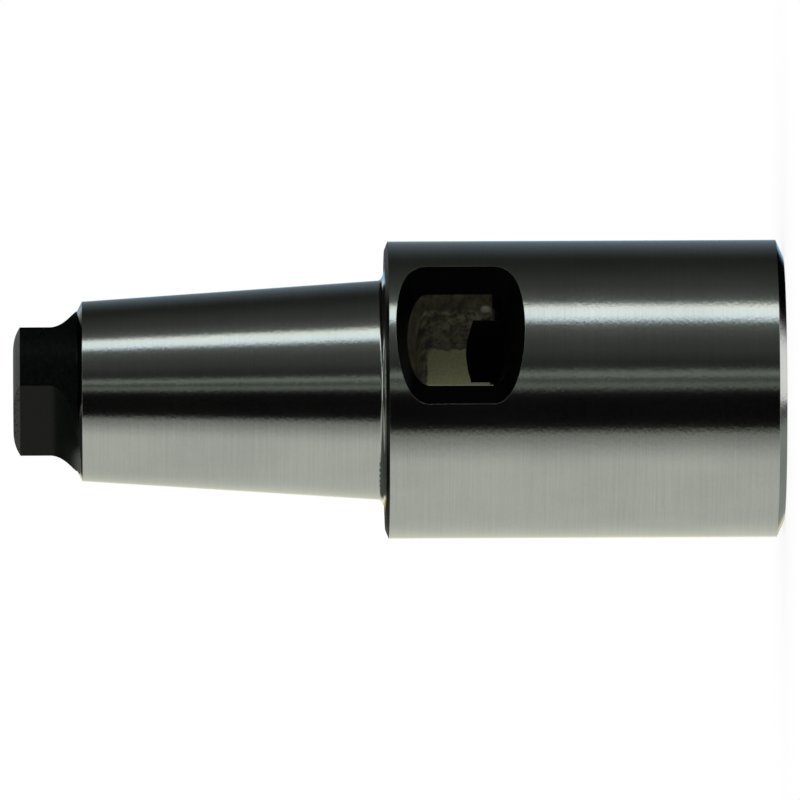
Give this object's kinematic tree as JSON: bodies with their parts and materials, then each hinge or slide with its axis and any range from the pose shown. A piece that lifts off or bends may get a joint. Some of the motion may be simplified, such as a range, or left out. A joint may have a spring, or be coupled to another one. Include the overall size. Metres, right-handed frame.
{
  "type": "morse taper sleeve",
  "caption": "Solid steel sleeve with a tapered shank and tang at one end, a tapered socket in a thicker round body at the other, and a chamfered drift slot across the body.",
  "frame": {"origin": "centre of the flat face around the socket's mouth", "axes": "+Z along the sleeve's axis from the socket's mouth to the tang; the drift slot runs through along Y; the tang's width lies 3.6 degrees from Y"},
  "size_m": [0.043, 0.043, 0.1113],
  "materials": {
    "steel": "ground bright on the shank and body, black oxide on the tang, slot chamfers and shoulder chamfer, raw inside the slot"
  },
  "bodies": {
    "root": {"sleeve": "steel"}
  },
  "joints": []
}
